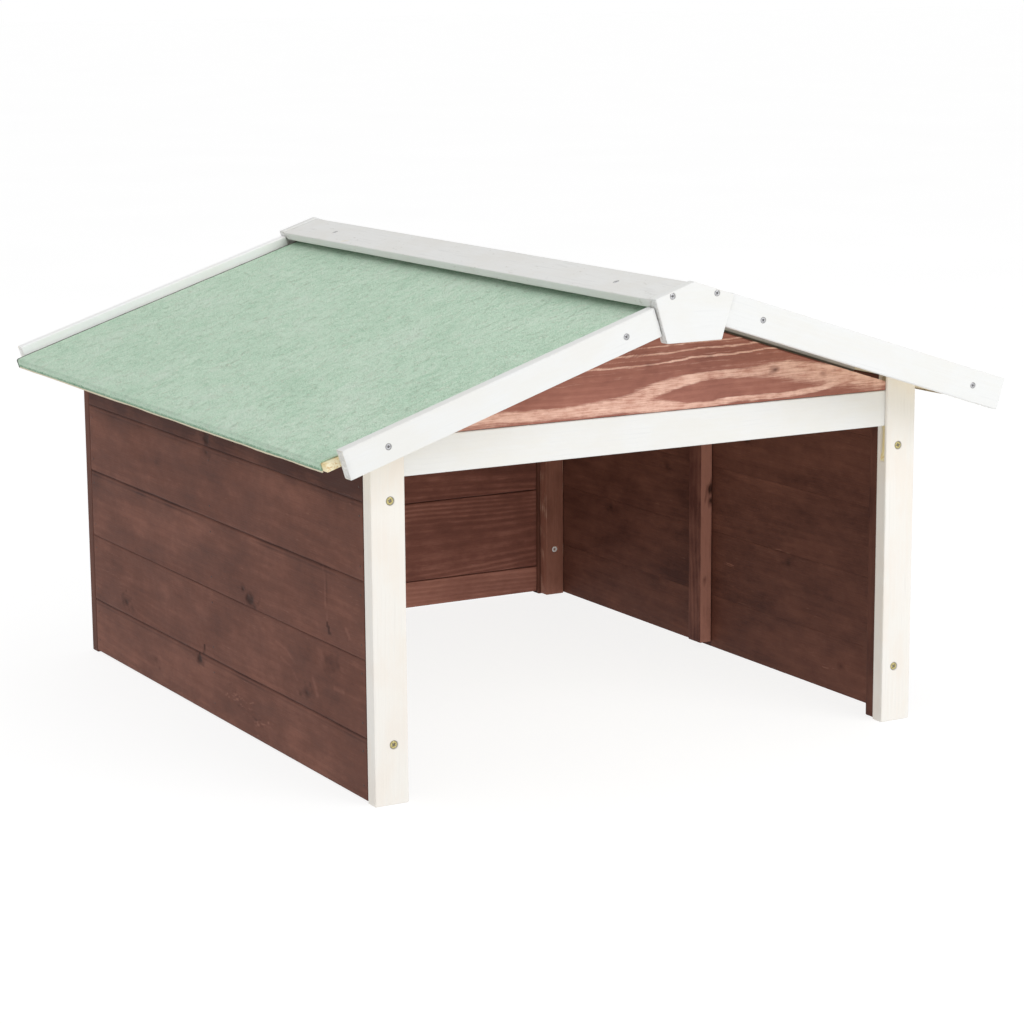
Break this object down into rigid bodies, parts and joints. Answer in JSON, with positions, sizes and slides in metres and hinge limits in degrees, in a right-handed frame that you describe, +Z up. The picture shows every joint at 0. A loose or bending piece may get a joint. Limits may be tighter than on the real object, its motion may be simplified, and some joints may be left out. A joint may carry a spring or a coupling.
{
  "type": "open-fronted pet shelter",
  "caption": "Low timber shelter for small pets with an open front, board walls, a felted gable roof with white bargeboards and a capped ridge.",
  "frame": {"origin": "on the ground, under the middle of the roof's width and depth", "axes": "+X across the front to the right as seen from the front, +Y from the open front to the back, +Z up"},
  "size_m": [0.7926, 0.862, 0.4998],
  "materials": {
    "white_paint": "thin white paint over softwood, satin, grain just showing",
    "grey_white_paint": "thin grey-white paint over softwood, matt",
    "brown_stain": "mocha brown stain over softwood, matt, knots and grain showing",
    "gable_stain": "red-brown stain over softwood with pale flame grain, matt",
    "roof_board_pine": "bare planed pine",
    "green_felt": "pale green mineral roofing felt, rough, streaked",
    "zinc_screw": "yellow zinc plated, satin"
  },
  "bodies": {
    "root": {"back_board_1": "brown_stain", "back_board_2": "brown_stain", "back_board_3": "brown_stain", "back_board_4": "brown_stain", "back_board_5": "brown_stain", "back_board_6": "brown_stain", "back_centre_batten": "brown_stain", "bargeboard_front_left": "white_paint", "bargeboard_front_right": "white_paint", "bargeboard_rear_left": "white_paint", "bargeboard_rear_right": "white_paint", "front_gable_board": "gable_stain", "front_lintel": "white_paint", "front_post_left": "white_paint", "front_post_right": "white_paint", "front_post_screw_left_lower": "zinc_screw", "front_post_screw_left_upper": "zinc_screw", "front_post_screw_right_lower": "zinc_screw", "front_post_screw_right_upper": "zinc_screw", "left_wall_batten_front": "brown_stain", "left_wall_batten_middle": "brown_stain", "left_wall_batten_rear": "brown_stain", "left_wall_board_1": "brown_stain", "left_wall_board_2": "brown_stain", "left_wall_board_3": "brown_stain", "left_wall_board_4": "brown_stain", "left_wall_board_5": "brown_stain", "rear_batten_screw_left_lower": "zinc_screw", "rear_batten_screw_left_upper": "zinc_screw", "rear_batten_screw_right_lower": "zinc_screw", "rear_batten_screw_right_upper": "zinc_screw", "rear_post_left": "brown_stain", "rear_post_right": "brown_stain", "ridge_cap_board_left": "grey_white_paint", "ridge_cap_board_right": "grey_white_paint", "ridge_end_plate_front": "white_paint", "ridge_end_plate_rear": "white_paint", "right_wall_batten_front": "brown_stain", "right_wall_batten_middle": "brown_stain", "right_wall_batten_rear": "brown_stain", "right_wall_board_1": "brown_stain", "right_wall_board_2": "brown_stain", "right_wall_board_3": "brown_stain", "right_wall_board_4": "brown_stain", "right_wall_board_5": "brown_stain", "roof_batten_front_left": "grey_white_paint", "roof_batten_front_right": "grey_white_paint", "roof_batten_rear_left": "grey_white_paint", "roof_batten_rear_right": "grey_white_paint", "roof_board_left_1": "roof_board_pine", "roof_board_left_2": "roof_board_pine", "roof_board_left_3": "roof_board_pine", "roof_board_left_4": "roof_board_pine", "roof_board_right_1": "roof_board_pine", "roof_board_right_2": "roof_board_pine", "roof_board_right_3": "roof_board_pine", "roof_board_right_4": "roof_board_pine", "roof_felt_left": "green_felt", "roof_felt_right": "green_felt"}
  },
  "joints": []
}
